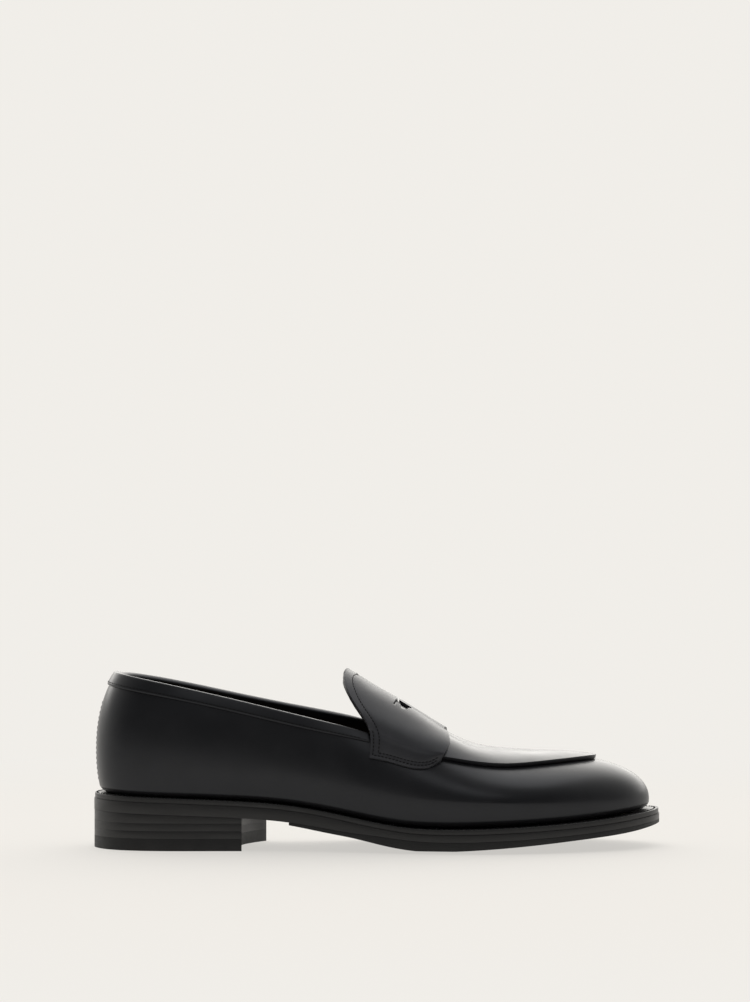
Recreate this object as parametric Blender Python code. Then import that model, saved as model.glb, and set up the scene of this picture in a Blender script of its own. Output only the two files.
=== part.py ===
"""A penny loafer for the right foot: a lasted leather upper on a welted leather sole with a stacked heel.

Lengths are in millimetres until make_object() turns them into metres. x runs forward from the back of the
heel, y from the lateral side (negative) to the medial side, and z up from the floor. make_object() moves the
shoe so that the middle of its sole lies over the origin.

The upper's shape is one surface, last_point(turn, level). turn goes round the shoe in radians: 0 at the back
of the heel, pi at the toe, and back along the medial side. level goes up the wall: -1 at the feather line
where the upper meets the welt, 0 at the widest line, and 1 at the spine along the top. Each layer of the
upper is a sheet at its own distance from that surface, which is the outside of the skirt.
"""

import math

import bmesh
import bpy
import numpy as np

# Frame
MM = 0.001
TURN = 2 * math.pi
SOLE_MIDDLE_X = 150.0
GAP = 0.3

# Last: where its feather line and its spine begin and end
FEATHER_BACK_X = 3.6
FEATHER_TOE_X = 294.0
SPINE_BACK_X = 42.0
SPINE_TOE_X = 235.0
CURL_UNDER = 2.2

# Leather and board thicknesses
SKIRT = 1.4
LINING = 0.9
STIFFENER = 1.5
LINING_DEPTH = SKIRT + 1.0
BAND = 0.8
PLUG = 1.5
PLUG_LIFT = 1.0
SADDLE = 1.4
SADDLE_LIFT = 0.6
INSOLE = 2.3
SOCK = 1.1
HEEL_PAD = 2.0
WELT = 2.8
FILLER = 2.5
SHANK = 1.2
TOP_PIECE = 6.3
LIFT = 4.0

# Widths and lengths along the surfaces
LASTING_MARGIN = 10.0
WELT_INSIDE = 6.0
APRON_MARGIN = 0.05
PLUG_JOINT_TURN = TURN * 13 / 48
LINING_JOINT_TURN = TURN * 12 / 48
BACK_SEAM_HALF = 0.15
INSOLE_INSET = 2.8
SOCK_INSET = 6.2
CORK_START_X = 100.0
SEAT_END_X = 97.0
HEEL_PAD_END_X = 82.0
COUNTER_END_TURN = TURN * 7 / 48
COUNTER_RAMP_X = (64.0, 86.0)
PUFF_START_TURN = TURN * 18 / 48
PUFF_RAMP_X = (224.0, 248.0)
BAND_END_X = 145.0
WELT_SET_IN = 1.2
EDGE_LIFT = 1.5
SHANK_SPAN_X = (50.0, 165.0)
SHANK_WIDTH = 14.0
FOREPART_SOLE_START_X = 104.0
BREAST_LATERAL_X = 79.3
BREAST_MEDIAL_X = 90.5
BREAST_HOLLOW = 8.0

# Penny slot, seen from above
SLOT_X = 165.5
SLOT_Y = 1.3
SLOT_WIDTH = 46.0
SLOT_LENGTH = 10.5
SLIT_WIDTH = 34.0
SLIT_LENGTH = 4.6

# Heel nails
NAIL_PLACES = ((15.0, 0.0), (32.0, -20.0), (32.0, 20.0), (62.0, -21.0), (62.0, 20.0))
NAIL_RADIUS = 1.0
NAIL_HEAD_RADIUS = 2.0
NAIL_HEAD = 0.8
NAIL_HEAD_TOP_Z = 1.6
NAIL_TOP_Z = 13.0

# Mesh density
COLUMNS = 48
WALL_FRACTIONS = (0.25, 0.5, 0.75, 1.0)
TOP_ROWS = 5
SADDLE_COLUMNS = 7
SADDLE_ROWS = 6
NAIL_SIDES = 8


# ---------------------------------------------------------------- smooth curves


def spline(points):
    """The natural cubic spline through (place, value) points, as a function of place."""
    place, value = np.array(points, float).T
    step = np.diff(place)
    slope = np.diff(value) / step
    matrix = np.eye(len(place))
    target = np.zeros(len(place))
    for i in range(1, len(place) - 1):
        matrix[i, i - 1 : i + 2] = step[i - 1], 2 * (step[i - 1] + step[i]), step[i]
        target[i] = 6 * (slope[i] - slope[i - 1])
    bend = np.linalg.solve(matrix, target)

    def at(where):
        where = np.clip(np.asarray(where, float), place[0], place[-1])
        i = np.clip(np.searchsorted(place, where) - 1, 0, len(step) - 1)
        after, before, width = where - place[i], place[i + 1] - where, step[i]
        curve = (bend[i] * before**3 + bend[i + 1] * after**3) / (6 * width)
        left = (value[i] / width - bend[i] * width / 6) * before
        right = (value[i + 1] / width - bend[i + 1] * width / 6) * after
        return curve + left + right

    return at


def around(*values):
    """A closed smooth curve of turn through values evenly spaced in turn, the first at the heel's back."""
    count = len(values)
    wrapped = [(TURN * i / count, values[i % count]) for i in range(-4, count + 5)]
    curve = spline(wrapped)
    return lambda turn: curve(np.mod(turn, TURN))


def both_sides(*values):
    """The same as around(), for values that are alike on the lateral and the medial side, heel to toe."""
    return around(*values, *values[-2:0:-1])


def smooth_step(value, low, high):
    """0 below low, 1 above high, and a smooth ramp between them."""
    t = np.clip((np.asarray(value, float) - low) / (high - low), 0, 1)
    return t * t * (3 - 2 * t)


def solve(rising, low, high, shape):
    """Where the function rising crosses zero between low and high, for each element of an array."""
    low = np.full(shape, low, float)
    high = np.full(shape, high, float)
    for _ in range(22):
        middle = (low + high) / 2
        below = rising(middle) < 0
        low = np.where(below, middle, low)
        high = np.where(below, high, middle)
    return (low + high) / 2


# ---------------------------------------------------------------- last

# Values round the last at every 22.5 degrees of turn, from the heel's back over the lateral side
feather_y = around(
    0, -22.5, -30.0, -30.5, -40.5, -46.5, -35.5, -16.5, 6.0,
    27.0, 41.5, 46.0, 34.5, 26.0, 30.0, 22.8,
)
bulge = around(
    2.5, 2.8, 3.4, 4.6, 4.0, 2.6, 2.0, 1.4, 0.9,
    1.4, 2.0, 2.6, 4.2, 5.0, 3.4, 2.8,
)
widest_rise = both_sides(22.5, 22.0, 20.0, 17.0, 15.5, 13.0, 9.5, 6.5, 5.0)
plan_power = both_sides(2.5, 2.5, 2.4, 2.3, 2.0, 1.75, 2.3, 2.6, 2.6)
height_power = both_sides(2.1, 2.1, 2.0, 1.9, 1.75, 1.6, 2.05, 2.1, 2.1)
apron_reach = both_sides(0.96, 0.96, 0.96, 0.96, 0.93, 0.79, 0.67, 0.56, 0.53)
sole_out = around(
    3.6, 2.8, 2.5, 2.6, 4.0, 6.0, 6.0, 6.2, 6.3,
    6.0, 5.6, 5.4, 3.4, 2.6, 2.5, 2.8,
)

# Heights along the shoe
welt_top = spline([
    (-5, 29.0), (40, 27.7), (80, 26.0), (100, 24.5), (125, 20.8), (150, 15.8), (165, 13.6),
    (180, 12.8), (200, 12.9), (230, 14.0), (260, 15.9), (285, 18.4), (305, 21.0),
])
sole_edge = spline([
    (-5, 8.9), (60, 8.9), (110, 8.9), (136, 8.2), (152, 6.8), (170, 6.6), (235, 6.4), (305, 6.0),
])
tread = spline([
    (90, 15.4), (104, 13.7), (125, 9.2), (137, 6.5), (150, 3.3), (162, 1.0), (172, -0.1),
    (188, -0.1), (214, 1.4), (234, 3.0), (256, 5.0), (271, 6.4), (286, 8.3), (305, 12.2),
])
ridge = spline([
    (42, 106.5), (75, 105.0), (105, 101.0), (125, 94.6), (134, 89.2), (148, 80.2), (158, 74.2),
    (170, 65.5), (181, 57.4), (190, 52.7), (203, 49.7), (217, 48.5), (235, 48.0),
])
spine_y = spline([(42, 0), (100, 0.5), (150, 1.0), (190, 2.0), (235, 4.0)])
topline_lateral = spline([
    (0, 95.0), (11, 92.9), (36, 88.0), (78, 78.7), (120, 68.8),
    (147, 61.8), (170, 53.6), (187, 48.0), (210, 45.0),
])
topline_medial = spline([
    (0, 95.0), (11, 92.9), (36, 88.3), (78, 79.6), (120, 71.2),
    (147, 64.6), (170, 55.2), (187, 49.0), (210, 45.5),
])


def medial(turn):
    return np.mod(turn, TURN) > math.pi


def feather_plan(turn):
    """(x, y) of the feather line, where the upper meets the welt."""
    x = FEATHER_BACK_X + (FEATHER_TOE_X - FEATHER_BACK_X) * (1 - np.cos(turn)) / 2
    return np.stack([x, feather_y(turn)], axis=-1)


def spine_plan(turn):
    x = SPINE_BACK_X + (SPINE_TOE_X - SPINE_BACK_X) * (1 - np.cos(turn)) / 2
    return np.stack([x, spine_y(x)], axis=-1)


def plan_normal(turn):
    """The unit vector that points out of the feather line in plan."""
    step = 1e-3
    along = feather_plan(turn + step) - feather_plan(turn - step)
    along /= np.linalg.norm(along, axis=-1, keepdims=True)
    return np.stack([along[..., 1], -along[..., 0]], axis=-1)


def beside_feather(turn, out):
    """(x, y) at a distance outside the feather line; a negative distance is inside it."""
    return feather_plan(turn) + plan_normal(turn) * np.asarray(out)[..., None]


def last_point(turn, level):
    """A point of the last's surface: see the top of the file."""
    turn, level = np.broadcast_arrays(np.asarray(turn, float), np.asarray(level, float))
    foot, spine = feather_plan(turn), spine_plan(turn)
    reach = np.linalg.norm(foot - spine, axis=-1)
    widest = 1 + bulge(turn) / reach
    foot_z = welt_top(foot[..., 0]) + GAP
    widest_z = foot_z + widest_rise(turn)
    under = np.clip(level + 1, 0, 1)
    under_share = 1 + (widest - 1) * (1 - (1 - under) ** CURL_UNDER)
    angle = np.clip(level, 0, 1) * math.pi / 2
    over_share = widest * np.abs(np.cos(angle)) ** (2 / plan_power(turn))
    over_z = widest_z + (ridge(spine[..., 0]) - widest_z) * np.sin(angle) ** (2 / height_power(turn))
    share = np.where(level < 0, under_share, over_share)
    z = np.where(level < 0, foot_z + (widest_z - foot_z) * under, over_z)
    plan = spine + (foot - spine) * share[..., None]
    return np.concatenate([plan, z[..., None]], axis=-1)


def one_sided_normal(turn, level):
    step = 1e-3
    level = np.clip(level, -1 + step, 0.97)
    along = last_point(turn + step, level) - last_point(turn - step, level)
    up = last_point(turn, level + step) - last_point(turn, level - step)
    normal = np.cross(along, up)
    return normal / np.linalg.norm(normal, axis=-1, keepdims=True)


def last_normal(turn, level):
    """The outward unit normal of the last. On the spine it is the mean of the two sides'."""
    turn, level = np.broadcast_arrays(np.asarray(turn, float), np.asarray(level, float))
    normal = one_sided_normal(turn, level)
    mean = normal + one_sided_normal(TURN - turn, level)
    normal = np.where((level > 0.98)[..., None], mean, normal)
    return normal / np.linalg.norm(normal, axis=-1, keepdims=True)


def off_last(turn, level, out):
    """A point at a distance outside the last's surface."""
    return last_point(turn, level) + last_normal(turn, level) * np.asarray(out)[..., None]


def edge_level(turn):
    """The level of the skirt's edge: the topline behind the saddle, and the apron's edge in front of it."""
    turn = np.asarray(turn, float)

    def above_topline(level):
        point = last_point(turn, level)
        line = np.where(medial(turn), topline_medial(point[..., 0]), topline_lateral(point[..., 0]))
        return point[..., 2] - line + BAND + GAP

    behind = solve(above_topline, 0.02, 0.98, turn.shape)
    reach = np.linalg.norm(feather_plan(turn) - spine_plan(turn), axis=-1)
    share = apron_reach(turn) / (1 + bulge(turn) / reach)
    front = np.arccos(share ** (plan_power(turn) / 2)) * 2 / math.pi
    blend = smooth_step(feather_plan(turn)[..., 0], 148, 187)
    return behind + (front - behind) * blend


def insole_level(turn):
    """The level just above the insole board, where the lining starts."""
    rise = (SKIRT + 2 * GAP + INSOLE + GAP) / widest_rise(turn)
    return np.minimum(rise - 1, -0.05)


def turn_at(x, level, on_medial):
    """The turn on one side at which the last has this x at this level."""
    x, level = np.broadcast_arrays(np.asarray(x, float), np.asarray(level, float))
    found = solve(lambda turn: last_point(turn, level)[..., 0] - x, 0.0, math.pi, x.shape)
    if not on_medial:
        return found
    return TURN - solve(lambda turn: last_point(TURN - turn, level)[..., 0] - x, 0.0, math.pi, x.shape)


# ---------------------------------------------------------------- meshes


def make_object(name, points, faces, material, smooth=True):
    """A Blender object from points in millimetres. Points that coincide become one."""
    mesh = bpy.data.meshes.new(name)
    placed = (np.asarray(points, float) - (SOLE_MIDDLE_X, 0, 0)) * MM
    mesh.from_pydata(placed.tolist(), [], faces)
    shape = bmesh.new()
    shape.from_mesh(mesh)
    bmesh.ops.remove_doubles(shape, verts=shape.verts, dist=0.02 * MM)
    bmesh.ops.dissolve_degenerate(shape, edges=shape.edges, dist=0.001 * MM)
    shape.to_mesh(mesh)
    shape.free()
    if smooth:
        mesh.shade_smooth()
        mesh.set_sharp_from_angle(angle=math.radians(40))
    mesh.materials.append(material)
    obj = bpy.data.objects.new(name, mesh)
    bpy.context.scene.collection.objects.link(obj)
    return obj


def grid_faces(columns, rows, start=0, loop=False, flip=False):
    faces = []
    for i in range(columns if loop else columns - 1):
        for j in range(rows - 1):
            a = start + i * rows + j
            b = start + (i + 1) % columns * rows + j
            quad = (a, b, b + 1, a + 1)
            faces.append(quad[::-1] if flip else quad)
    return faces


def sheet(name, outer, inner, material, loop=False, zipped=False):
    """A closed sheet between two grids of points, columns by rows.

    loop joins the last column to the first. zipped leaves the last row without a rim, because its points meet
    those of the other side on the spine.
    """
    columns, rows = outer.shape[:2]
    back = columns * rows
    faces = grid_faces(columns, rows, 0, loop) + grid_faces(columns, rows, back, loop, flip=True)
    for i in range(columns if loop else columns - 1):
        a, b = i * rows, (i + 1) % columns * rows
        faces.append((a + back, b + back, b, a))
        if not zipped:
            top = rows - 1
            faces.append((a + top, b + top, b + top + back, a + top + back))
    if not loop:
        end = (columns - 1) * rows
        for j in range(rows - 1):
            faces.append((j, j + 1, j + 1 + back, j + back))
            faces.append((end + j + back, end + j + 1 + back, end + j + 1, end + j))
    points = np.concatenate([outer.reshape(-1, 3), inner.reshape(-1, 3)])
    return make_object(name, points, faces, material)


def layer(name, turn, level, out, thickness, material, **options):
    """A sheet of leather whose outside lies at a distance outside the last, at a grid of turns and levels."""
    outer = off_last(turn, level, out)
    inner = off_last(turn, level, np.asarray(out) - thickness)
    return sheet(name, outer, inner, material, **options)


def plate(name, lateral, medial_side, top, bottom, material, across=(0, 0.25, 0.75, 1), hollow=0.0):
    """A plate with curved faces between two edge lines given in plan, heel to toe.

    top and bottom give the height at x and at the share of the way across. hollow pulls the plate's front end
    back in a curve, as a heel's breast is.
    """
    share = np.array(across, float)[None, :, None]
    plan = lateral[:, None, :] * (1 - share) + medial_side[:, None, :] * share
    bow = 4 * share[..., 0] * (1 - share[..., 0])
    progress = np.linspace(0, 1, len(lateral))[:, None] ** 4
    plan[..., 0] -= hollow * bow * progress
    width = np.broadcast_to(share[..., 0], plan.shape[:2])
    upper = np.concatenate([plan, top(plan[..., 0], width)[..., None]], axis=-1)
    lower = np.concatenate([plan, bottom(plan[..., 0], width)[..., None]], axis=-1)
    return sheet(name, upper, lower, material)


def turned(place, profile, sides):
    """Points and faces of a solid of revolution about a vertical line, from (radius, z), top to bottom."""
    angles = np.arange(sides) * TURN / sides
    points = []
    for radius, z in profile:
        points += [(place[0] + radius * math.cos(a), place[1] + radius * math.sin(a), z) for a in angles]
    faces = []
    for ring in range(len(profile) - 1):
        for k in range(sides):
            a, b = ring * sides + k, ring * sides + (k + 1) % sides
            faces.append((a, a + sides, b + sides, b))
    faces.append(tuple(range(sides)))
    last = (len(profile) - 1) * sides
    faces.append(tuple(last + k for k in reversed(range(sides))))
    return points, faces


def cutter(name, points, faces, material):
    """A helper that only cuts other objects."""
    obj = make_object(name, points, faces, material, smooth=False)
    obj.hide_render = True
    obj.display_type = "WIRE"
    return obj


def cut(obj, tool):
    boolean = obj.modifiers.new("cut", "BOOLEAN")
    boolean.operation = "DIFFERENCE"
    boolean.object = tool


# ---------------------------------------------------------------- materials


def finish(name, colour, roughness, metallic=0.0):
    material = bpy.data.materials.new(name)
    material.use_nodes = True
    shader = material.node_tree.nodes["Principled BSDF"]
    shader.inputs["Base Color"].default_value = (*colour, 1)
    shader.inputs["Roughness"].default_value = roughness
    shader.inputs["Metallic"].default_value = metallic
    return material


# ---------------------------------------------------------------- upper


def foot_turn(x, on_medial=False):
    """The turn at which the feather line has this x."""
    turn = math.acos(1 - 2 * (x - FEATHER_BACK_X) / (FEATHER_TOE_X - FEATHER_BACK_X))
    return TURN - turn if on_medial else turn


def wall_turns(first, last):
    """The turns of a wall's columns, from first to last. Turns below zero are on the medial side."""
    step = TURN / COLUMNS
    inside = np.arange(math.ceil(first / step + 0.15), math.floor(last / step - 0.15) + 1) * step
    return np.concatenate([[first], inside, [last]])


def wall_levels(turns, lowest, highest):
    """Rows of levels up a wall: from the lowest, over the widest line, to the highest."""
    rows = [lowest * share for share in (1.0, 0.72, 0.4, 0.0)]
    rows += [highest * share for share in WALL_FRACTIONS]
    return np.stack(rows, axis=1)


def make_skirt(material):
    """The wrap-round piece from the back seam over the toe and back, with its lasting margin turned in."""
    slit = BACK_SEAM_HALF / 57
    turns = wall_turns(slit, TURN - slit)
    edge = edge_level(turns)
    levels = wall_levels(turns, -np.ones_like(turns), edge)
    levels[:, -1] += APRON_MARGIN * smooth_step(last_point(turns, edge)[:, 0], 147, 165)
    outer = off_last(turns[:, None], levels, 0.0)
    inner = off_last(turns[:, None], levels, -SKIRT)
    inner[:, 0, 2] = outer[:, 0, 2] + SKIRT
    margin = beside_feather(turns, np.full(turns.shape, -LASTING_MARGIN))
    margin = np.concatenate([margin, welt_top(margin[:, :1]) + GAP], axis=1)[:, None]
    outer = np.concatenate([margin, outer], axis=1)
    inner = np.concatenate([margin + (0, 0, SKIRT), inner], axis=1)
    sheet("vamp_skirt", outer, inner, material)


def stiffened(turn):
    """1 where the heel counter or the toe puff stands between the skirt and the lining, 0 elsewhere."""
    x = feather_plan(turn)[..., 0]
    return 1 - smooth_step(x, *COUNTER_RAMP_X) + smooth_step(x, *PUFF_RAMP_X)


def lining_depth(turn):
    return LINING_DEPTH + (STIFFENER + GAP) * stiffened(turn)


def make_linings(material_of):
    joint = LINING_JOINT_TURN
    turns = wall_turns(-joint + 0.005, joint - 0.005)
    levels = wall_levels(turns, insole_level(turns), edge_level(turns))
    depth = lining_depth(turns)[:, None]
    layer("quarter_lining", turns[:, None], levels, -depth, LINING, material_of("quarter_lining"))

    turns = wall_turns(joint + 0.005, TURN - joint - 0.005)
    edge = edge_level(turns)
    walls = wall_levels(turns, insole_level(turns), edge)
    roof = [edge + (1 - edge) * share for share in np.linspace(0, 1, TOP_ROWS)[1:]]
    levels = np.concatenate([walls, np.stack(roof, axis=1)], axis=1)
    depth = np.broadcast_to(lining_depth(turns)[:, None], levels.shape).copy()
    under_apron = smooth_step(feather_plan(turns)[:, 0], 180, 195)
    depth[:, 2 - TOP_ROWS :] -= (depth[:, 2 - TOP_ROWS :] - 3 * GAP) * under_apron[:, None]
    layer("vamp_lining", turns[:, None], levels, -depth, LINING, material_of("vamp_lining"), zipped=True)


def make_stiffeners(material_of):
    """The heel counter and the toe puff, between the skirt and the lining."""
    end = COUNTER_END_TURN
    turns = wall_turns(-end, end)
    levels = wall_levels(turns, insole_level(turns), edge_level(turns))[:, :-1]
    layer("heel_counter", turns[:, None], levels, -SKIRT - GAP, STIFFENER, material_of("heel_counter"))
    turns = wall_turns(PUFF_START_TURN, TURN - PUFF_START_TURN)
    levels = wall_levels(turns, insole_level(turns), edge_level(turns))[:, :-1]
    layer("toe_puff", turns[:, None], levels, -SKIRT - GAP, STIFFENER, material_of("toe_puff"))


def make_apron(material):
    """The raised-edge piece over the instep and the toe."""
    turns = wall_turns(PLUG_JOINT_TURN, TURN - PLUG_JOINT_TURN)
    edge = edge_level(turns)
    levels = np.stack([edge + (1 - edge) * share for share in np.linspace(0, 1, TOP_ROWS)], axis=1)
    layer("apron", turns[:, None], levels, PLUG_LIFT + PLUG, PLUG, material, zipped=True)


def x_on_side(turn, level, on_medial):
    return last_point(TURN - turn if on_medial else turn, level)[..., 0]


def patch_side(rear, front, above_lowest, shares, heights, on_medial):
    """Turns and levels on one side of a patch that lies across the spine.

    rear and front give x from the level and the side. shares run from the rear edge to the front edge,
    heights from the lower edge to the skirt's edge at 1 and the spine at 2. above_lowest(turn, level)
    crosses zero at the lower edge.
    """
    shares, heights = np.meshgrid(shares, heights, indexing="ij")

    def turn_for(level):
        back, ahead = rear(level, on_medial), front(level, on_medial)
        return turn_at(back + (ahead - back) * shares, level, on_medial)

    lowest = solve(lambda level: above_lowest(turn_for(level), level), 0.02, 0.95, shares.shape)
    edge = solve(lambda level: level - edge_level(turn_for(level)), 0.02, 0.95, shares.shape)
    lowest = np.minimum(lowest, edge - 0.03)
    level = np.where(heights < 1, lowest + (edge - lowest) * heights, edge + (1 - edge) * (heights - 1))
    return turn_for(level), level, heights


def patch(rear, front, above_lowest, shares, heights):
    """Turns, levels and heights of a patch across the spine, from its lateral edge to its medial edge."""
    lateral = patch_side(rear, front, above_lowest, shares, heights, False)
    medial_side = patch_side(rear, front, above_lowest, shares, heights, True)
    return [np.concatenate([a, b[:, -2::-1]], axis=1) for a, b in zip(lateral, medial_side)]


def make_tongue(material_of):
    """The free tongue behind the apron, and its lining."""
    joint = PLUG_JOINT_TURN - 0.006
    heights = np.concatenate([[0.0], np.linspace(1, 2, TOP_ROWS + 1)])

    def rear(level, on_medial):
        return saddle_rear(level) + 1.2

    def front(level, on_medial):
        return x_on_side(joint, level, on_medial)

    def above_plug_edge(turn, level):
        return level - edge_level(turn)

    def above_skirt_edge(turn, level):
        margin = APRON_MARGIN * smooth_step(last_point(turn, level)[..., 0], 147, 165)
        return level - edge_level(turn) - margin - 0.03

    turn, level, _ = patch(rear, front, above_plug_edge, np.linspace(0, 1, 4), heights)
    layer("tongue", turn, level, PLUG_LIFT + PLUG, PLUG, material_of("tongue"))

    def lining_rear(level, on_medial):
        return saddle_rear(level) + 1.6

    heights = np.linspace(1, 2, TOP_ROWS + 1)
    turn, level, _ = patch(lining_rear, front, above_plug_edge, np.linspace(0, 1, 4), heights)
    clear = 0.04 + APRON_MARGIN * smooth_step(last_point(turn, level)[..., 0], 147, 165)
    level = level + clear * (1 - level) / (1 - edge_level(turn))
    layer("tongue_lining", turn, level, PLUG_LIFT - GAP, LINING, material_of("tongue_lining"))


def make_saddle(material):
    """The strap across the instep, over the tongue and the apron's rear, with its penny slot."""

    def rear(level, on_medial):
        return saddle_rear(level)

    def front(level, on_medial):
        return saddle_front(level)

    def above_lower_edge(turn, level):
        point = last_point(turn, level)
        return point[..., 2] - saddle_lower_edge(point[..., 0])

    heights = np.concatenate([[0, 0.4, 0.75], np.linspace(1, 2, SADDLE_ROWS)])
    shares = np.linspace(0, 1, SADDLE_COLUMNS)
    turn, level, height = patch(rear, front, above_lower_edge, shares, heights)
    over_plug = PLUG_LIFT + PLUG + SADDLE_LIFT
    bottom = SADDLE_LIFT + (over_plug - SADDLE_LIFT) * smooth_step(height, 0.3, 0.72)
    strap = layer("saddle_strap", turn, level, bottom + SADDLE, SADDLE, material)
    cut(strap, slot_cutter(material))


def slot_cutter(material):
    """A prism through the saddle: a long slot with a shorter slit ahead of it."""
    rear = SLOT_X - SLOT_LENGTH / 2
    half, slit = SLOT_WIDTH / 2, SLIT_WIDTH / 2
    step = SLOT_LENGTH - SLIT_LENGTH
    right = [(rear, half), (rear + step - 1, half - 0.5), (rear + step, half - 2.5)]
    right += [(rear + step + 0.4, slit + 1), (SLOT_X + SLOT_LENGTH / 2, slit - 3)]
    outline = [(x, SLOT_Y + y) for x, y in right] + [(x, SLOT_Y - y) for x, y in reversed(right)]
    count = len(outline)
    points = [(x, y, z) for z in (40, 110) for x, y in outline]
    faces = [tuple(range(count)), tuple(reversed(range(count, 2 * count)))]
    faces += [(k, k + count, (k + 1) % count + count, (k + 1) % count) for k in range(count)]
    return cutter("slot_cutter", points, faces, material)


def make_collar_band(material):
    """The folded band along the topline. It covers the upper edges of the skirt and the quarter lining."""
    ends = []
    for on_medial in (False, True):
        turn = turn_at(BAND_END_X, 0.35, on_medial)
        for _ in range(6):
            turn = turn_at(BAND_END_X, edge_level(turn), on_medial)
        ends.append(float(turn))
    turns = wall_turns(ends[1] - TURN, ends[0])
    edge = edge_level(turns)
    top = last_point(turns, edge)
    up = last_point(turns, edge + 0.01) - top
    rise = np.linalg.norm(up, axis=-1)
    up /= rise[:, None]
    low = edge - band_width(top[:, 0]) * 0.01 / rise
    levels = np.stack([low, (low + edge) / 2, edge], axis=1)
    outer = off_last(turns[:, None], levels, GAP + BAND)
    inner = off_last(turns[:, None], levels, GAP)
    normal = last_normal(turns, edge)
    depth = (lining_depth(turns) + LINING)[:, None]
    crest = [top + normal * GAP + up * (GAP + BAND), top - normal * depth + up * (GAP + BAND)]
    under = [top + normal * GAP + up * GAP, top - normal * depth + up * GAP]
    outer = np.concatenate([outer, np.stack(crest, axis=1)], axis=1)
    inner = np.concatenate([inner, np.stack(under, axis=1)], axis=1)
    sheet("collar_band", outer, inner, material)


saddle_rear = spline([
    (0.0, 145.4), (0.2, 145.9), (0.34, 146.6), (0.40, 145.6), (0.53, 137.8), (0.66, 132.4),
    (0.77, 131.0), (0.88, 132.2), (0.96, 133.3), (1.0, 133.4),
])
saddle_front = spline([
    (0.0, 183.0), (0.38, 183.6), (0.46, 186.0), (0.6, 186.2), (0.8, 184.4), (0.95, 182.6), (1.0, 182.4),
])
saddle_lower_edge = spline([
    (140, 50.0), (146, 49.2), (157, 47.0), (165, 44.7), (173, 43.5), (179, 44.9), (183, 48.2), (187, 53.0),
])
band_width = spline([(0, 7.0), (12, 7.0), (60, 6.0), (120, 5.4), (150, 4.2)])


# ---------------------------------------------------------------- bottom


def plan_line(out, first_x, last_x, on_medial, count):
    """Points in plan at a distance outside the feather line, between two x, or the shoe's end for None."""

    def line(turn):
        turn = TURN - turn if on_medial else turn
        distance = out(turn) if callable(out) else np.full(np.shape(turn), float(out))
        return beside_feather(turn, distance)

    def turn_for(x, end):
        if x is None:
            return end
        return float(solve(lambda turn: line(turn)[..., 0] - x, 0.0, math.pi, (1,))[0])

    turns = np.linspace(turn_for(first_x, 0.0), turn_for(last_x, math.pi), count)
    return line(turns)


def flat_plate(name, out, span, top, bottom, material, count=16, **options):
    """A plate whose edge follows the feather line between two x. The second may be (lateral x, medial x)."""
    ends = span[1] if isinstance(span[1], tuple) else (span[1], span[1])
    lines = [plan_line(out, span[0], end, side, count) for side, end in zip((False, True), ends)]
    return plate(name, *lines, top, bottom, material, **options)


def above_welt(height):
    """A surface at a height above the welt's top, as plate() wants it."""
    return lambda x, share: welt_top(x) + height


def level_plane(z):
    return lambda x, share: np.full(np.shape(x), z)


def outsole_bottom(x, share):
    return welt_top(x) - sole_edge(x)


def forepart_tread(x, share):
    """The worn-flat tread: its middle touches the floor at the ball, and its edges stand a little higher."""
    sag = 4 * share * (1 - share) * (1 - smooth_step(x, 250, 297))
    return np.maximum(tread(x), 0) + EDGE_LIFT * (1 - sag) * smooth_step(x, 104, 150)


def make_insole_parts(material_of):
    seat = SKIRT + 2 * GAP
    above = seat + INSOLE + GAP
    flat_plate("insole", -INSOLE_INSET, (None, None), above_welt(seat + INSOLE), above_welt(seat),
               material_of("insole"), count=25)
    flat_plate("heel_pad", -SOCK_INSET, (None, HEEL_PAD_END_X), above_welt(above + HEEL_PAD),
               above_welt(above), material_of("heel_pad"), count=10)

    def sock_bottom(x, share):
        rise = (HEEL_PAD + GAP) * (1 - smooth_step(x, HEEL_PAD_END_X + 1, HEEL_PAD_END_X + 14))
        return welt_top(x) + above + rise

    def sock_top(x, share):
        return sock_bottom(x, share) + SOCK

    flat_plate("insole_sock", -SOCK_INSET, (None, None), sock_top, sock_bottom,
               material_of("insole_sock"), count=24)


def make_fillers(material_of):
    """What fills the hollow inside the welt: cork in the forepart, board in the seat, and the steel shank."""
    inset = -LASTING_MARGIN - 2 * GAP
    flat_plate("cork_filler", inset, (CORK_START_X, None), above_welt(FILLER - WELT),
               above_welt(-WELT), material_of("cork_filler"))
    flat_plate("seat_filler", inset, (None, SEAT_END_X), above_welt(FILLER - WELT),
               above_welt(-WELT), material_of("seat_filler"), count=12)
    x = np.linspace(*SHANK_SPAN_X, 10)
    middle = (feather_y(foot_turns(x)) + feather_y(TURN - foot_turns(x))) / 2
    half = SHANK_WIDTH / 2
    lines = [np.stack([x, middle + side], axis=1) for side in (-half, half)]
    bottom = FILLER - WELT + GAP
    plate("shank", *lines, above_welt(bottom + SHANK), above_welt(bottom), material_of("shank"),
          across=(0, 1))


def foot_turns(x):
    return np.array([foot_turn(value) for value in x])


def make_welt(material):
    """The strip all round, between the upper and the outsole."""
    turns = np.arange(COLUMNS) * TURN / COLUMNS
    reaches = (np.full(turns.shape, -WELT_INSIDE), sole_out(turns) - WELT_SET_IN)
    plans = [beside_feather(turns, out) for out in reaches]
    top = np.stack([np.column_stack([plan, welt_top(plan[:, 0])]) for plan in plans], axis=1)
    sheet("welt", top[:, ::-1], top[:, ::-1] - (0, 0, WELT), material, loop=True)


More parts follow.
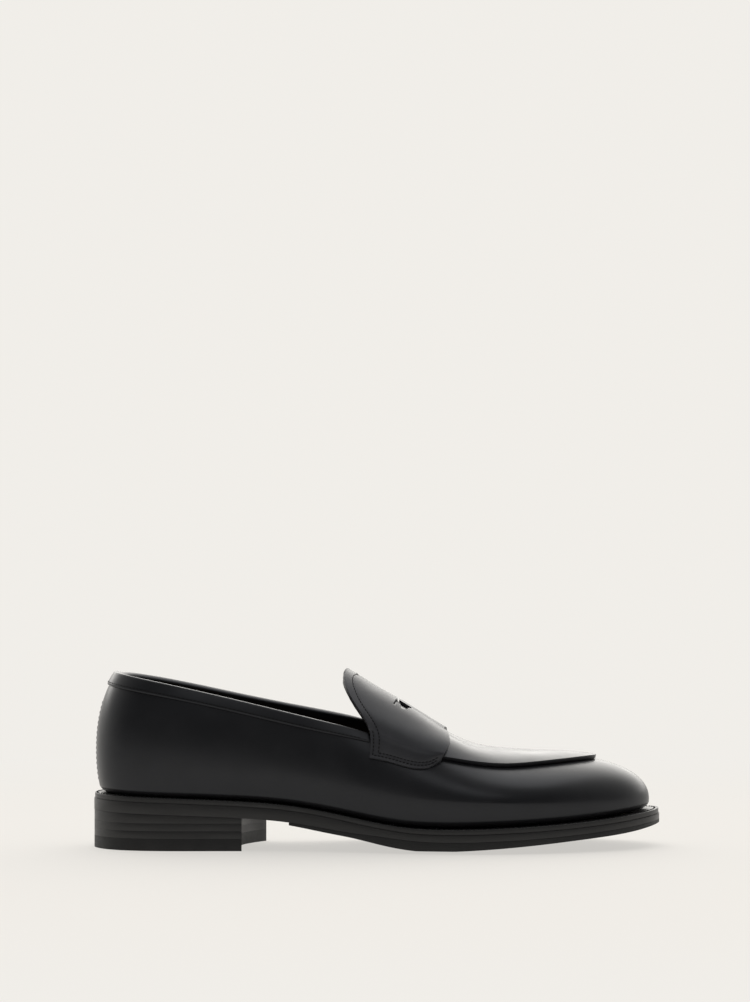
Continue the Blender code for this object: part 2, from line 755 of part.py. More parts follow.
def make_soles(material_of):
    flat_plate("outsole", sole_out, (None, None), above_welt(-WELT - GAP), outsole_bottom,
               material_of("outsole"), count=25, across=(0, 0.5, 1))
    under = (FOREPART_SOLE_START_X, None)
    flat_plate("forepart_sole", sole_out, under, lambda x, share: outsole_bottom(x, share) - GAP,
               forepart_tread, material_of("forepart_sole"), count=18, across=(0, 0.2, 0.5, 0.8, 1))


def make_heel(material_of):
    """The stacked heel: a rubber top piece, two level lifts, and a wedge lift that meets the outsole."""
    span = (None, (BREAST_LATERAL_X, BREAST_MEDIAL_X))
    shape = dict(count=14, hollow=BREAST_HOLLOW, across=(0, 0.2, 0.5, 0.8, 1))
    top_piece = flat_plate("heel_top_piece", lambda turn: sole_out(turn) - 0.4, span, level_plane(TOP_PIECE),
                           level_plane(0.0), material_of("heel_top_piece"), **shape)
    lifts = []
    for number in (1, 2, 3):
        bottom = TOP_PIECE + GAP + (number - 1) * LIFT
        top = level_plane(bottom + LIFT - GAP)
        if number == 3:
            def top(x, share):
                return outsole_bottom(x, share) - GAP
        name = f"heel_lift_{number}"
        out = lambda turn: sole_out(turn) - 0.3
        lifts.append(flat_plate(name, out, span, top, level_plane(bottom), material_of(name), **shape))
    for number, place in enumerate(NAIL_PLACES, 1):
        name = f"heel_nail_{number}"
        profile = [(NAIL_RADIUS * 0.5, NAIL_TOP_Z), (NAIL_RADIUS, NAIL_TOP_Z - 1.5)]
        profile += [(NAIL_RADIUS, NAIL_HEAD_TOP_Z)]
        profile += [(NAIL_HEAD_RADIUS, NAIL_HEAD_TOP_Z), (NAIL_HEAD_RADIUS, NAIL_HEAD_TOP_Z - NAIL_HEAD)]
        make_object(name, *turned(place, profile, NAIL_SIDES), material_of(name))
        bore = [(NAIL_RADIUS + GAP, NAIL_TOP_Z + GAP), (NAIL_RADIUS + GAP, NAIL_HEAD_TOP_Z + GAP)]
        bore += [(NAIL_HEAD_RADIUS + GAP, NAIL_HEAD_TOP_Z + GAP), (NAIL_HEAD_RADIUS + GAP, -1.0)]
        tool = cutter(f"nail_cutter_{number}", *turned(place, bore, NAIL_SIDES), material_of("cutter"))
        for obj in (top_piece, lifts[0], lifts[1]):
            cut(obj, tool)


# ---------------------------------------------------------------- shoe

CALF = ((0.012, 0.012, 0.013), 0.3)
LINING_LEATHER = ((0.035, 0.026, 0.021), 0.6)
BOARD = ((0.30, 0.20, 0.12), 0.85)
EDGE_LEATHER = ((0.014, 0.013, 0.013), 0.35)
HARD_RUBBER = ((0.018, 0.018, 0.018), 0.55)
CORK = ((0.38, 0.24, 0.13), 0.9)
FELT = ((0.12, 0.11, 0.10), 0.95)
STEEL = ((0.55, 0.55, 0.56), 0.3, 1.0)
BRASS = ((0.70, 0.50, 0.22), 0.35, 1.0)
LOOKS = {
    "vamp_skirt": CALF, "apron": CALF, "tongue": CALF, "saddle_strap": CALF, "collar_band": CALF,
    "quarter_lining": LINING_LEATHER, "vamp_lining": LINING_LEATHER, "tongue_lining": LINING_LEATHER,
    "insole_sock": LINING_LEATHER, "heel_counter": BOARD, "toe_puff": BOARD, "insole": BOARD,
    "seat_filler": BOARD, "heel_pad": FELT, "cork_filler": CORK, "shank": STEEL,
    "welt": EDGE_LEATHER, "outsole": EDGE_LEATHER, "heel_lift_1": EDGE_LEATHER,
    "heel_lift_2": EDGE_LEATHER, "heel_lift_3": EDGE_LEATHER, "forepart_sole": HARD_RUBBER,
    "heel_top_piece": HARD_RUBBER, "cutter": HARD_RUBBER,
}


def material_of(name):
    return finish(name, *LOOKS.get(name, BRASS))


def main():
    for obj in list(bpy.data.objects):
        bpy.data.objects.remove(obj)
    make_skirt(material_of("vamp_skirt"))
    make_linings(material_of)
    make_stiffeners(material_of)
    make_apron(material_of("apron"))
    make_tongue(material_of)
    make_saddle(material_of("saddle_strap"))
    make_collar_band(material_of("collar_band"))
    make_insole_parts(material_of)
    make_fillers(material_of)
    make_welt(material_of("welt"))
    make_soles(material_of)
    make_heel(material_of)


main()
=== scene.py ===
import math

import bpy
import numpy as np
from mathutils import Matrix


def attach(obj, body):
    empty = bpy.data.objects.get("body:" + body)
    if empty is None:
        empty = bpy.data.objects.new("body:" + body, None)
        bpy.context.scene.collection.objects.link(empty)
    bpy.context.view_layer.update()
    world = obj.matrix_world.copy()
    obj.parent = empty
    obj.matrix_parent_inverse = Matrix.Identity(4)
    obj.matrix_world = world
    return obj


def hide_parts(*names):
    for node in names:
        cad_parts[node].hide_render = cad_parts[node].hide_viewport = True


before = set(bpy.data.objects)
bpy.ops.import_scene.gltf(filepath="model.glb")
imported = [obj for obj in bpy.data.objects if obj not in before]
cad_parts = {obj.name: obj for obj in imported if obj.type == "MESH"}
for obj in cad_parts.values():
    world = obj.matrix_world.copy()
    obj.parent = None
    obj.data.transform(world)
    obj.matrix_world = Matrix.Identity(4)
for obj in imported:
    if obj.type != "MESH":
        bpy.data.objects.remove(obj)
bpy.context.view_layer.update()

# The shoe's own coordinates are millimetres: x runs forward from the back of the heel, y from the lateral
# side to the medial side, z up from the floor. place() turns them into the frame's metres.
MM = 0.001
TURN = 2 * math.pi
SOLE_MIDDLE_X = 150.0

# Last
FEATHER_BACK_X, FEATHER_TOE_X = 3.6, 294.0
SPINE_BACK_X, SPINE_TOE_X = 42.0, 235.0
CURL_UNDER = 2.2
FOOT_GAP = 0.3
TUCK, TUCK_HEIGHT = 2.6, 3.6

# Thicknesses and offsets from the last
SKIRT = 1.4
LINING_DEPTH, LINING = 2.4, 0.9
STIFFENER = 1.8
BAND_LIFT, BAND = 0.15, 1.1
PLUG_LIFT, PLUG = 0.45, 2.05
SADDLE_LIFT, SADDLE = 0.25, 1.5
OVER_PLUG = 2.75
RISE = 0.1, 0.95
CREST, CREST_HEIGHT, CREST_WIDTH = 0.7, 1.13, 0.15
WELT, WELT_INSIDE = 2.8, 6.0
TOP_PIECE, LIFT, LIFT_GAP = 6.3, 4.0, 0.05
BREAST_LATERAL_X, BREAST_MEDIAL_X, BREAST_HOLLOW = 79.3, 90.5, 8.0
FOREPART_SOLE_START_X = 104.0
COLLAR_THICKNESS = 1.1


# ---------------------------------------------------------------- smooth curves


def spline(points):
    """The natural cubic spline through (place, value) points, as a function of place."""
    place, value = np.array(points, float).T
    step = np.diff(place)
    slope = np.diff(value) / step
    matrix = np.eye(len(place))
    target = np.zeros(len(place))
    for i in range(1, len(place) - 1):
        matrix[i, i - 1 : i + 2] = step[i - 1], 2 * (step[i - 1] + step[i]), step[i]
        target[i] = 6 * (slope[i] - slope[i - 1])
    bend = np.linalg.solve(matrix, target)

    def at(where):
        where = np.clip(np.asarray(where, float), place[0], place[-1])
        i = np.clip(np.searchsorted(place, where) - 1, 0, len(step) - 1)
        after, before, width = where - place[i], place[i + 1] - where, step[i]
        curve = (bend[i] * before**3 + bend[i + 1] * after**3) / (6 * width)
        left = (value[i] / width - bend[i] * width / 6) * before
        right = (value[i + 1] / width - bend[i + 1] * width / 6) * after
        return curve + left + right

    return at


def around(*values):
    """A closed smooth curve of turn through values evenly spaced in turn, the first at the heel's back."""
    count = len(values)
    curve = spline([(TURN * i / count, values[i % count]) for i in range(-4, count + 5)])
    return lambda turn: curve(np.mod(turn, TURN))


def both_sides(*values):
    return around(*values, *values[-2:0:-1])


def smooth_step(value, low, high):
    t = np.clip((np.asarray(value, float) - low) / (high - low), 0, 1)
    return t * t * (3 - 2 * t)


def solve(rising, low, high, shape):
    """Where the function rising crosses zero between low and high, for each element of an array."""
    low = np.full(shape, low, float)
    high = np.full(shape, high, float)
    for _ in range(22):
        middle = (low + high) / 2
        below = rising(middle) < 0
        low = np.where(below, middle, low)
        high = np.where(below, high, middle)
    return (low + high) / 2


# ---------------------------------------------------------------- last

feather_y = around(
    0, -22.5, -30.0, -30.5, -40.5, -46.5, -35.5, -16.5, 6.0,
    27.0, 41.5, 46.0, 34.5, 26.0, 30.0, 22.8,
)
bulge = around(
    2.5, 2.8, 3.4, 4.6, 4.0, 2.6, 2.0, 1.4, 0.9,
    1.4, 2.0, 2.6, 4.2, 5.0, 3.4, 2.8,
)
widest_rise = both_sides(22.5, 22.0, 20.0, 17.0, 15.5, 13.0, 9.5, 6.5, 5.0)
plan_power = both_sides(2.5, 2.5, 2.4, 2.3, 2.0, 1.75, 2.3, 2.6, 2.6)
height_power = both_sides(2.1, 2.1, 2.0, 1.9, 1.75, 1.6, 2.05, 2.1, 2.1)
apron_reach = both_sides(0.96, 0.96, 0.96, 0.96, 0.93, 0.79, 0.67, 0.56, 0.53)
sole_out = around(
    3.6, 2.8, 2.5, 2.6, 4.0, 6.0, 6.0, 6.2, 6.3,
    6.0, 5.6, 5.4, 3.4, 2.6, 2.5, 2.8,
)
welt_top = spline([
    (-5, 29.0), (40, 27.7), (80, 26.0), (100, 24.5), (125, 20.8), (150, 15.8), (165, 13.6),
    (180, 12.8), (200, 12.9), (230, 14.0), (260, 15.9), (285, 18.4), (305, 21.0),
])
sole_edge = spline([
    (-5, 8.9), (60, 8.9), (110, 8.9), (136, 8.2), (152, 6.8), (170, 6.6), (235, 6.4), (305, 6.0),
])
tread = spline([
    (90, 15.4), (104, 13.7), (125, 9.2), (137, 6.5), (150, 3.3), (162, 1.0), (172, -0.1),
    (188, -0.1), (214, 1.4), (234, 3.0), (256, 5.0), (271, 6.4), (286, 8.3), (305, 12.2),
])
ridge = spline([
    (42, 106.5), (75, 105.0), (105, 101.0), (125, 94.6), (134, 89.2), (148, 80.2), (158, 74.2),
    (170, 65.5), (181, 57.4), (190, 52.7), (203, 49.7), (217, 48.5), (235, 48.0),
])
spine_y = spline([(42, 0), (100, 0.5), (150, 1.0), (190, 2.0), (235, 4.0)])
topline_lateral = spline([
    (0, 95.0), (11, 92.9), (36, 88.0), (78, 78.7), (120, 68.8),
    (147, 61.8), (170, 53.6), (187, 48.0), (210, 45.0),
])
topline_medial = spline([
    (0, 95.0), (11, 92.9), (36, 88.3), (78, 79.6), (120, 71.2),
    (147, 64.6), (170, 55.2), (187, 49.0), (210, 45.5),
])
saddle_rear = spline([
    (0.0, 145.4), (0.2, 145.9), (0.34, 146.6), (0.40, 145.6), (0.53, 137.8), (0.66, 132.4),
    (0.77, 131.0), (0.88, 132.2), (0.96, 133.3), (1.0, 133.4),
])
saddle_front = spline([
    (0.0, 183.0), (0.38, 183.6), (0.46, 186.0), (0.6, 186.2), (0.8, 184.4), (0.95, 182.6), (1.0, 182.4),
])
saddle_lower_edge = spline([
    (140, 50.0), (146, 49.2), (157, 47.0), (165, 44.7), (173, 43.5), (179, 44.9), (183, 48.2), (187, 53.0),
])
band_width = spline([(0, 7.0), (12, 7.0), (60, 6.0), (120, 5.4), (150, 4.2)])


def medial(turn):
    return np.mod(turn, TURN) > math.pi


def feather_plan(turn):
    x = FEATHER_BACK_X + (FEATHER_TOE_X - FEATHER_BACK_X) * (1 - np.cos(turn)) / 2
    return np.stack([x, feather_y(turn)], axis=-1)


def spine_plan(turn):
    x = SPINE_BACK_X + (SPINE_TOE_X - SPINE_BACK_X) * (1 - np.cos(turn)) / 2
    return np.stack([x, spine_y(x)], axis=-1)


def plan_normal(turn):
    step = 1e-3
    along = feather_plan(turn + step) - feather_plan(turn - step)
    along /= np.linalg.norm(along, axis=-1, keepdims=True)
    return np.stack([along[..., 1], -along[..., 0]], axis=-1)


def beside_feather(turn, out):
    return feather_plan(turn) + plan_normal(turn) * np.asarray(out)[..., None]


def last_point(turn, level):
    """A point of the last: level -1 is the feather line, 0 the widest line and 1 the spine."""
    turn, level = np.broadcast_arrays(np.asarray(turn, float), np.asarray(level, float))
    foot, spine = feather_plan(turn), spine_plan(turn)
    reach = np.linalg.norm(foot - spine, axis=-1)
    widest = 1 + bulge(turn) / reach
    foot_z = welt_top(foot[..., 0]) + FOOT_GAP
    widest_z = foot_z + widest_rise(turn)
    under = np.clip(level + 1, 0, 1)
    tuck = np.clip(1 - under * widest_rise(turn) / TUCK_HEIGHT, 0, 1)
    under_share = 1 + (widest - 1) * (1 - (1 - under) ** CURL_UNDER) - TUCK / reach * tuck**2
    angle = np.clip(level, 0, 1) * math.pi / 2
    over_share = widest * np.abs(np.cos(angle)) ** (2 / plan_power(turn))
    over_z = widest_z + (ridge(spine[..., 0]) - widest_z) * np.sin(angle) ** (2 / height_power(turn))
    share = np.where(level < 0, under_share, over_share)
    z = np.where(level < 0, foot_z + (widest_z - foot_z) * under, over_z)
    plan = spine + (foot - spine) * share[..., None]
    return np.concatenate([plan, z[..., None]], axis=-1)


def one_sided_normal(turn, level):
    step = 1e-3
    level = np.clip(level, -1 + step, 0.985)
    along = last_point(turn + step, level) - last_point(turn - step, level)
    up = last_point(turn, level + step) - last_point(turn, level - step)
    normal = np.cross(along, up)
    return normal / np.linalg.norm(normal, axis=-1, keepdims=True)


def last_normal(turn, level):
    turn, level = np.broadcast_arrays(np.asarray(turn, float), np.asarray(level, float))
    normal = one_sided_normal(turn, level)
    share = smooth_step(level, 0.93, 1.0)[..., None] / 2
    normal = normal * (1 - share) + one_sided_normal(TURN - turn, level) * share
    return normal / np.linalg.norm(normal, axis=-1, keepdims=True)


def off_last(turn, level, out):
    return last_point(turn, level) + last_normal(turn, level) * np.asarray(out)[..., None]


def edge_level(turn):
    """The level of the skirt's edge: the topline behind the saddle, and the apron's edge in front of it."""
    turn = np.asarray(turn, float)

    def above_topline(level):
        point = last_point(turn, level)
        line = np.where(medial(turn), topline_medial(point[..., 0]), topline_lateral(point[..., 0]))
        return point[..., 2] - line + COLLAR_THICKNESS

    behind = solve(above_topline, 0.02, 0.98, turn.shape)
    reach = np.linalg.norm(feather_plan(turn) - spine_plan(turn), axis=-1)
    share = apron_reach(turn) / (1 + bulge(turn) / reach)
    front = np.arccos(share ** (plan_power(turn) / 2)) * 2 / math.pi
    return behind + (front - behind) * smooth_step(feather_plan(turn)[..., 0], 148, 187)


def turn_at(x, level, on_medial):
    """The turn on one side at which the last has this x at this level."""
    x, level = np.broadcast_arrays(np.asarray(x, float), np.asarray(level, float))
    if not on_medial:
        return solve(lambda turn: last_point(turn, level)[..., 0] - x, 0.0, math.pi, x.shape)
    return TURN - solve(lambda turn: last_point(TURN - turn, level)[..., 0] - x, 0.0, math.pi, x.shape)


# ---------------------------------------------------------------- meshes


def place(points):
    return (np.asarray(points, float) - (SOLE_MIDDLE_X, 0, 0)) * MM


def make_mesh(name, points, faces, uvs=None):
    """A mesh from points in millimetres, with coincident points joined.

    uvs holds one (u, v) per point, in millimetres.
    """
    import bmesh

    mesh = bpy.data.meshes.new(name)
    mesh.from_pydata(place(points).tolist(), [], faces)
    if uvs is not None:
        layer = mesh.uv_layers.new(name="UVMap")
        index = np.zeros(len(mesh.loops), dtype=np.int32)
        mesh.loops.foreach_get("vertex_index", index)
        layer.data.foreach_set("uv", (np.asarray(uvs)[index] * 0.001).ravel())
    shape = bmesh.new()
    shape.from_mesh(mesh)
    bmesh.ops.remove_doubles(shape, verts=shape.verts, dist=0.004 * MM)
    bmesh.ops.dissolve_degenerate(shape, edges=shape.edges, dist=0.0005 * MM)
    shape.to_mesh(mesh)
    shape.free()
    mesh.shade_smooth()
    return mesh


def make_piece(name, mesh, nodes, slot, material, bevel=0.0, sharp=35):
    obj = bpy.data.objects.new(name, mesh)
    bpy.context.scene.collection.objects.link(obj)
    mesh.materials.append(material)
    if bevel:
        modifier = obj.modifiers.new("edge", "BEVEL")
        modifier.width = bevel * MM
        modifier.segments = 3
        modifier.limit_method = "ANGLE"
        modifier.angle_limit = math.radians(sharp)
        modifier.harden_normals = False
    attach(obj, "root")
    if nodes:
        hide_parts(*nodes)
    return obj


def grid_faces(columns, rows, start=0, loop=False, flip=False):
    faces = []
    for i in range(columns if loop else columns - 1):
        for j in range(rows - 1):
            a = start + i * rows + j
            b = start + (i + 1) % columns * rows + j
            quad = (a, b, b + 1, a + 1)
            faces.append(quad[::-1] if flip else quad)
    return faces


def sheet_mesh(name, outer, inner, loop=False, zipped=False):
    """A closed sheet between two grids of points, columns by rows: see part's layers."""
    columns, rows = outer.shape[:2]
    back = columns * rows
    faces = grid_faces(columns, rows, 0, loop) + grid_faces(columns, rows, back, loop, flip=True)
    for i in range(columns if loop else columns - 1):
        a, b = i * rows, (i + 1) % columns * rows
        faces.append((a + back, b + back, b, a))
        if not zipped:
            top = rows - 1
            faces.append((a + top, b + top, b + top + back, a + top + back))
    if not loop:
        end = (columns - 1) * rows
        for j in range(rows - 1):
            faces.append((j, j + 1, j + 1 + back, j + back))
            faces.append((end + j + back, end + j + 1 + back, end + j + 1, end + j))
    points = np.concatenate([outer.reshape(-1, 3), inner.reshape(-1, 3)])
    return make_mesh(name, points, faces)


# ---------------------------------------------------------------- materials


class Nodes:
    """A small helper to build one Principled material."""

    def __init__(self, name, **values):
        self.material = bpy.data.materials.new(name)
        self.material.use_nodes = True
        self.tree = self.material.node_tree
        self.shader = self.tree.nodes["Principled BSDF"]
        for key, value in values.items():
            self.shader.inputs[key.replace("_", " ").title().replace("Ior", "IOR")].default_value = value
        self.where = self.add("ShaderNodeTexCoord").outputs["Object"]

    def add(self, kind, **values):
        node = self.tree.nodes.new(kind)
        for key, value in values.items():
            if key in node.inputs:
                node.inputs[key].default_value = value
            else:
                setattr(node, key, value)
        return node

    def link(self, a, b):
        self.tree.links.new(a, b)
        return b

    def stretched(self, scale):
        node = self.add("ShaderNodeMapping")
        node.inputs["Scale"].default_value = scale
        self.link(self.where, node.inputs["Vector"])
        return node.outputs["Vector"]

    def noise(self, scale, detail=3.0, roughness=0.55, stretch=(1, 1, 1)):
        node = self.add("ShaderNodeTexNoise", Scale=scale, Detail=detail, Roughness=roughness)
        self.link(self.stretched(stretch), node.inputs["Vector"])
        return node.outputs["Fac"]

    def cells(self, scale, stretch=(1, 1, 1)):
        node = self.add("ShaderNodeTexVoronoi", Scale=scale, feature="SMOOTH_F1")
        self.link(self.stretched(stretch), node.inputs["Vector"])
        return node.outputs["Distance"]

    def ramp(self, source, stops):
        """A colour or a grey from (place, colour) stops."""
        node = self.add("ShaderNodeValToRGB")
        self.link(source, node.inputs["Fac"])
        elements = node.color_ramp.elements
        while len(elements) < len(stops):
            elements.new(0.5)
        for element, (position, colour) in zip(elements, stops):
            element.position = position
            element.color = (*colour, 1) if isinstance(colour, tuple) else (colour, colour, colour, 1)
        return node.outputs["Color"]

    def blend(self, kind, a, b, share):
        node = self.add("ShaderNodeMix", data_type="RGBA", blend_type=kind)
        for socket, value in ((node.inputs[0], share), (node.inputs[6], a), (node.inputs[7], b)):
            if isinstance(value, (int, float)):
                socket.default_value = value
            elif isinstance(value, tuple):
                socket.default_value = (*value, 1)
            else:
                self.link(value, socket)
        return node.outputs[2]

    def colour(self, source):
        self.link(source, self.shader.inputs["Base Color"])

    def roughness(self, source, low, high):
        node = self.add("ShaderNodeMapRange")
        node.inputs["From Min"].default_value = 0.3
        node.inputs["From Max"].default_value = 0.7
        node.inputs["To Min"].default_value = low
        node.inputs["To Max"].default_value = high
        self.link(source, node.inputs["Value"])
        self.link(node.outputs["Result"], self.shader.inputs["Roughness"])

    def bump(self, *heights):
        """Bumps stacked from (height socket, strength, depth in millimetres)."""
        previous = None
        for height, strength, depth in heights:
            node = self.add("ShaderNodeBump", Strength=strength, Distance=depth * MM)
            self.link(height, node.inputs["Height"])
            if previous:
                self.link(previous, node.inputs["Normal"])
            previous = node.outputs["Normal"]
        self.link(previous, self.shader.inputs["Normal"])


BLUE_SHEEN = (0.90, 0.93, 1.0, 1.0)


def calf(name, tone=0.0085, rough=(0.28, 0.37), shine=0.32):
    """Polished black calf: fine closed grain, faint drawn lines, and clouded polish."""
    n = Nodes(name, coat_weight=0.08, coat_roughness=0.22, specular_ior_level=shine, specular_tint=BLUE_SHEEN)
    clouds = n.noise(28, 4)
    grain = n.noise(1800, 2)
    drawn = n.noise(170, 3, stretch=(1, 1, 0.5))
    low, high = (tone, tone * 1.03, tone * 1.15), (tone * 1.6, tone * 1.62, tone * 1.78)
    n.colour(n.ramp(clouds, [(0.3, low), (0.7, high)]))
    n.roughness(n.noise(60, 5), *rough)
    n.bump((clouds, 0.2, 0.4), (drawn, 0.08, 0.2), (grain, 0.10, 0.04))
    return n.material


def lining_leather(name, tone=(0.030, 0.022, 0.018)):
    n = Nodes(name, specular_ior_level=0.35)
    blotches = n.noise(45, 5)
    pores = n.cells(1300)
    n.colour(n.ramp(blotches, [(0.3, tuple(0.7 * c for c in tone)), (0.7, tuple(1.5 * c for c in tone))]))
    n.roughness(blotches, 0.5, 0.68)
    n.bump((n.noise(110, 4), 0.25, 0.4), (pores, 0.3, 0.08))
    return n.material


def sole_edge_leather(name):
    """Waxed sole edge: pressed layers run along it, with lighter rub marks."""
    n = Nodes(name, coat_weight=0.1, coat_roughness=0.3, specular_ior_level=0.4)
    layers = n.noise(420, 4, stretch=(0.05, 0.05, 4))
    rubs = n.noise(70, 5, stretch=(0.6, 0.6, 2))
    base = n.ramp(layers, [(0.3, (0.0105, 0.0105, 0.011)), (0.7, (0.0125, 0.0123, 0.0125))])
    n.colour(n.blend("MIX", base, (0.034, 0.032, 0.030), n.ramp(rubs, [(0.6, 0.0), (0.85, 0.5)])))
    n.roughness(rubs, 0.34, 0.55)
    n.bump((layers, 0.06, 0.03), (rubs, 0.06, 0.08))
    return n.material


def sole_rubber(name):
    """Moulded sole rubber: matt, with fine pits and grey scuffs."""
    n = Nodes(name, specular_ior_level=0.4)
    scuffs = n.noise(90, 6, 0.7)
    pits = n.cells(900)
    base = n.ramp(n.noise(30, 3), [(0.3, (0.008, 0.008, 0.0085)), (0.7, (0.012, 0.012, 0.012))])
    n.colour(n.blend("MIX", base, (0.034, 0.032, 0.030), n.ramp(scuffs, [(0.58, 0.0), (0.8, 0.5)])))
    n.roughness(scuffs, 0.48, 0.7)
    n.bump((pits, 0.3, 0.1), (scuffs, 0.2, 0.15))
    return n.material


def thread(name, tone):
    """Waxed thread: fine fibres vary its colour, roughness and bump."""
    n = Nodes(name, specular_ior_level=0.15)
    fibres = n.noise(3000, 3)
    n.colour(n.ramp(fibres, [(0.3, tuple(0.6 * c for c in tone)), (0.7, tuple(1.4 * c for c in tone))]))
    n.roughness(fibres, 0.65, 0.85)
    n.bump((fibres, 0.5, 0.08))
    return n.material


def brass(name):
    n = Nodes(name, metallic=1.0)
    scratches = n.noise(900, 4, stretch=(0.2, 1, 1))
    n.colour(n.ramp(scratches, [(0.3, (0.50, 0.34, 0.13)), (0.7, (0.74, 0.54, 0.25))]))
    n.roughness(scratches, 0.28, 0.5)
    n.bump((scratches, 0.2, 0.05))
    return n.material


def plain_inner(name, low, high, scale, metallic=0.0):
    """A material for pieces that the upper and the sole hide."""
    n = Nodes(name, metallic=metallic)
    grain = n.noise(scale, 5)
    n.colour(n.ramp(grain, [(0.3, low), (0.7, high)]))
    n.roughness(grain, 0.4 if metallic else 0.75, 0.6 if metallic else 0.95)
    n.bump((grain, 0.3, 0.2))
    return n.material


CALF = calf("calf")
# The strap's calf is the same black calf with its colour made about three times lighter (tone 0.026 against
# 0.0085). That lighter colour is painted light for the top light that falls on the up-facing strap.
STRAP_CALF_PAINTED_LIT = calf("strap_calf_painted_lit", 0.026, (0.36, 0.46), 0.2)
LINING_LOOK = lining_leather("lining_leather")
SOCK_LOOK = lining_leather("sock_leather", (0.040, 0.030, 0.024))
EDGE_LOOK = sole_edge_leather("sole_edge_leather")
RUBBER_LOOK = sole_rubber("sole_rubber")
THREAD_LOOK = thread("thread", (0.003, 0.003, 0.003))


# ---------------------------------------------------------------- upper


def turns_between(first, last, count):
    return np.linspace(first, last, count)


def make_skirt():
    slit = 0.10 / 57
    turns = np.concatenate([[slit], np.linspace(0.004, TURN - 0.004, 361), [TURN - slit]])
    edge = edge_level(turns)
    lows = -1 + np.concatenate([np.linspace(0, 0.3, 14), np.linspace(0.34, 1, 12)])
    highs = np.linspace(0, 1, 34)[1:]
    levels = np.concatenate([np.broadcast_to(lows, (len(turns), len(lows))), edge[:, None] * highs], axis=1)
    margin = 0.05 * smooth_step(last_point(turns, edge)[:, 0], 147, 165)
    levels = np.concatenate([levels, (edge + margin)[:, None]], axis=1)
    seam = np.minimum(turns, TURN - turns) * 57
    out = (-0.45 * np.exp(-((seam / 0.7) ** 2)))[:, None] * smooth_step(levels, -0.95, -0.7)
    outer = off_last(turns[:, None], levels, out)
    inner = off_last(turns[:, None], levels, out - SKIRT)
    inner[:, 0, 2] = outer[:, 0, 2] + SKIRT
    tuck = beside_feather(turns, np.full(turns.shape, -10.0))
    tuck = np.concatenate([tuck, welt_top(tuck[:, :1]) + FOOT_GAP], axis=1)[:, None]
    outer = np.concatenate([tuck, outer], axis=1)
    inner = np.concatenate([tuck + (0, 0, SKIRT), inner], axis=1)
    mesh = sheet_mesh("skirt", outer, inner)
    return make_piece("skirt", mesh, ["vamp_skirt"], "calf", CALF, bevel=0.25, sharp=50)


def make_apron():
    joint = TURN * 13 / 48
    turns = turns_between(joint, TURN - joint, 260)
    edge = edge_level(turns)
    shares = np.concatenate([[0, 0.004, 0.010, 0.02, 0.035, 0.06], np.linspace(0.09, 1, 34)])
    levels = edge[:, None] + (1 - edge[:, None]) * shares
    outer = off_last(turns[:, None], levels, np.full(levels.shape, PLUG_LIFT + PLUG))
    inner = off_last(turns[:, None], levels, np.full(levels.shape, PLUG_LIFT))
    mesh = sheet_mesh("apron_piece", outer, inner, zipped=True)
    return make_piece("apron_top", mesh, ["apron"], "calf", CALF, bevel=0.42, sharp=50)


def x_on_side(turn, level, on_medial):
    return last_point(TURN - turn if on_medial else turn, level)[..., 0]


def patch_side(rear, front, above_lowest, shares, heights, on_medial):
    """Turns, levels and heights on one side of a patch that lies across the spine: see part's patches.

    They are solved on a coarse grid and read between its points. Every point still lies on the last.
    """
    coarse_shares = np.linspace(0, 1, 15)
    coarse_heights = np.concatenate([np.linspace(0, 1, 9)[:-1], [0.9999], np.linspace(1, 2, 13)])
    columns, rows = np.meshgrid(coarse_shares, coarse_heights, indexing="ij")

    def turn_for(level):
        back, ahead = rear(level, on_medial), front(level, on_medial)
        return turn_at(back + (ahead - back) * columns, level, on_medial)

    lowest = solve(lambda level: above_lowest(turn_for(level), level), 0.02, 0.95, columns.shape)
    edge = solve(lambda level: level - edge_level(turn_for(level)), 0.02, 0.95, columns.shape)
    lowest = np.minimum(lowest, edge - 0.03)
    level = np.where(rows < 1, lowest + (edge - lowest) * rows, edge + (1 - edge) * (rows - 1))

    def refine(values):
        tall = np.stack([np.interp(heights, coarse_heights, row) for row in values])
        return np.stack([np.interp(shares, coarse_shares, column) for column in tall.T], axis=1)

    return refine(turn_for(level)), refine(level), np.broadcast_to(heights, (len(shares), len(heights)))


def patch(rear, front, above_lowest, shares, heights):
    lateral = patch_side(rear, front, above_lowest, shares, heights, False)
    medial_side = patch_side(rear, front, above_lowest, shares, heights, True)
    return [np.concatenate([a, b[:, -2::-1]], axis=1) for a, b in zip(lateral, medial_side)]


def strap_rear(level, on_medial):
    return saddle_rear(level)


def strap_front(level, on_medial):
    return saddle_front(level)


def above_strap_edge(turn, level):
    point = last_point(turn, level)
    return point[..., 2] - saddle_lower_edge(point[..., 0])


def strap_lift(height):
    """The strap's underside above the last: it climbs over the plug's edge and crests just above it."""
    rise = (OVER_PLUG - SADDLE_LIFT) * smooth_step(height, *RISE)
    return SADDLE_LIFT + rise + CREST * np.exp(-(((height - CREST_HEIGHT) / CREST_WIDTH) ** 2))


def strap_surface(shares, heights):
    turn, level, height = patch(strap_rear, strap_front, above_strap_edge, shares, heights)
    bottom = strap_lift(height)
    return turn, level, bottom


def carve(surface, lines, depth, width):
    """Press lines into a grid of points: how far each point sinks, in millimetres."""
    from mathutils.kdtree import KDTree

    points = np.concatenate(lines)
    tree = KDTree(len(points))
    for index, point in enumerate(points):
        tree.insert(point, index)
    tree.balance()
    distance = np.array([tree.find(point)[2] for point in surface.reshape(-1, 3)])
    return (depth * np.exp(-((distance / width) ** 2))).reshape(surface.shape[:2])


def resample(line, pitch):
    """Points evenly spaced along a polyline."""
    line = np.asarray(line, float)
    steps = np.linalg.norm(np.diff(line, axis=0), axis=1)
    along = np.concatenate([[0], np.cumsum(steps)])
    count = max(int(along[-1] / pitch), 1)
    places = (np.arange(count) + 0.5) * along[-1] / count
    return np.stack([np.interp(places, along, line[:, k]) for k in range(3)], axis=1)


